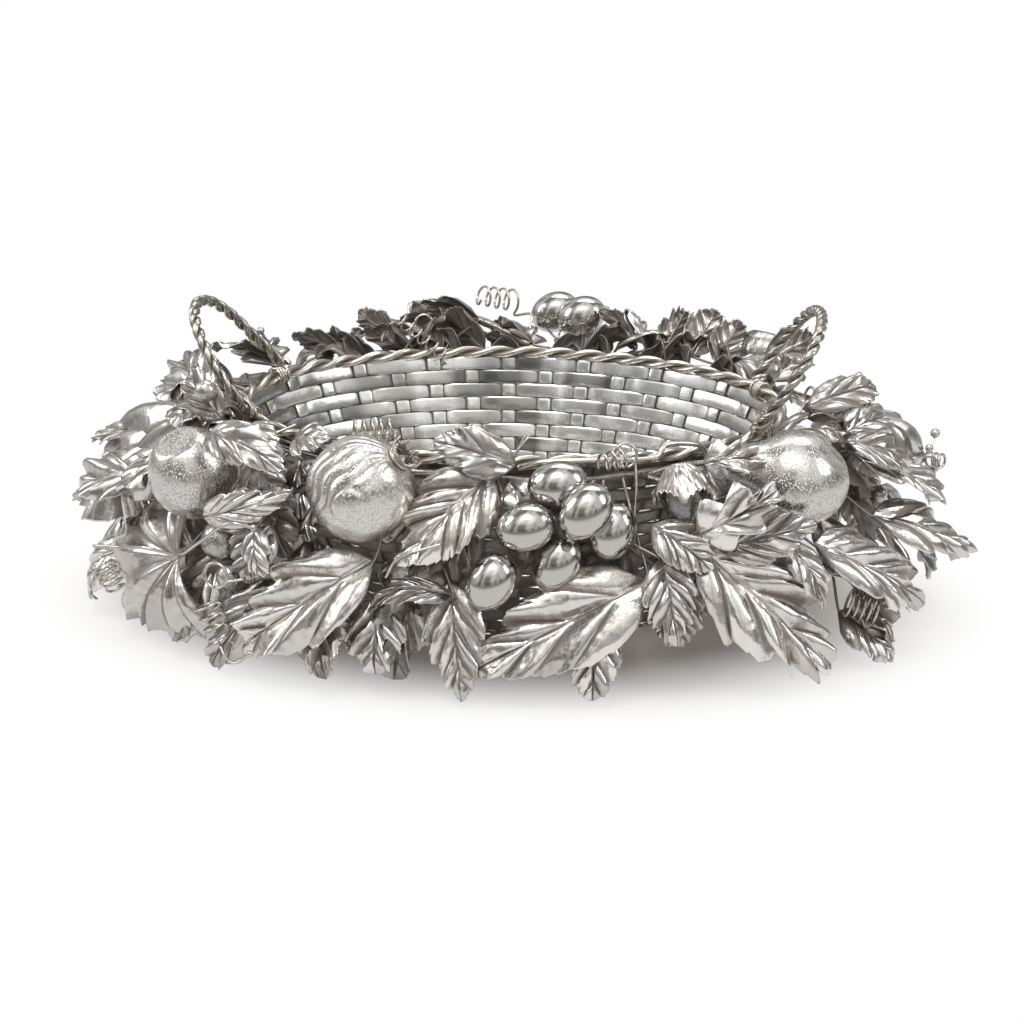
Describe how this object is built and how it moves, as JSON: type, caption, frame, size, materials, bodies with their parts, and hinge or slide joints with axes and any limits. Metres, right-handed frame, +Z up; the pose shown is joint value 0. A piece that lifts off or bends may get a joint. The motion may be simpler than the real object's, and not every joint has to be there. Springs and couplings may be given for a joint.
{
  "type": "centerpiece basket",
  "caption": "Oval woven bowl with a twisted rope rim and two rope loop handles, ringed by a draped garland of leaves, fruit, grapes and curling tendrils",
  "frame": {"origin": "centre of the base plate's underside, on the table", "axes": "+X along the oval to the right handle, +Y to the back, +Z up"},
  "size_m": [0.5478, 0.3463, 0.1857],
  "materials": {
    "woven_silver": "polished flat silver strip, oxidised dark where the strips dive under each other",
    "rope_silver": "drawn silver wire twisted into rope, warm toned, dark in the lay",
    "tendril_silver": "thin drawn silver wire, polished on top",
    "stem_silver": "oxidised silver rod with file marks",
    "grape_silver": "mirror polished silver shell",
    "fruit_silver": "stippled and matted silver skin with worn bright tops",
    "leaf_silver": "chased and toothed silver sheet, dark in the veins and bright on the ridges"
  },
  "bodies": {
    "root": {"rim_rope": "rope_silver", "handle_left": "rope_silver", "handle_right": "rope_silver", "binding_left_front": "rope_silver", "binding_left_back": "rope_silver", "binding_right_front": "rope_silver", "binding_right_back": "rope_silver", "basket_wall": "woven_silver", "base_plate": "woven_silver", "vine_back": "stem_silver", "vine_left": "stem_silver", "vine_front": "stem_silver", "vine_right": "stem_silver", "pomegranate": "fruit_silver", "pear": "fruit_silver", "peach": "fruit_silver", "hazelnut": "fruit_silver", "apple": "fruit_silver", "plum": "fruit_silver", "berry": "fruit_silver", "grape_stem_front": "stem_silver", "grape_front_1": "grape_silver", "grape_front_2": "grape_silver", "grape_front_3": "grape_silver", "grape_front_4": "grape_silver", "grape_front_5": "grape_silver", "grape_front_6": "grape_silver", "grape_stem_back": "stem_silver", "grape_back_1": "grape_silver", "grape_back_2": "grape_silver", "pruned_twig": "stem_silver", "tendril_peach": "tendril_silver", "tendril_left_front": "tendril_silver", "tendril_pomegranate": "tendril_silver", "tendril_stem_front": "tendril_silver", "tendril_right_front": "tendril_silver", "tendril_right": "tendril_silver", "tendril_far_right": "tendril_silver", "tendril_back": "tendril_silver", "tendril_back_left": "tendril_silver", "leaf_peach_large": "leaf_silver", "leaf_pomegranate_large": "leaf_silver", "leaf_grapes_large": "leaf_silver", "leaf_pear_large": "leaf_silver", "leaves_pomegranate": "leaf_silver", "leaves_left_crown": "leaf_silver", "leaves_left_side": "leaf_silver", "leaves_left_low": "leaf_silver", "leaves_peach": "leaf_silver", "leaves_peach_low": "leaf_silver", "leaves_pomegranate_low": "leaf_silver", "leaves_grapes_low": "leaf_silver", "leaves_pear": "leaf_silver", "leaves_right_crown": "leaf_silver", "leaves_right_low": "leaf_silver", "leaves_back_right": "leaf_silver", "leaves_back_middle": "leaf_silver", "leaves_back_left": "leaf_silver", "leaves_back_end": "leaf_silver"}
  },
  "joints": []
}
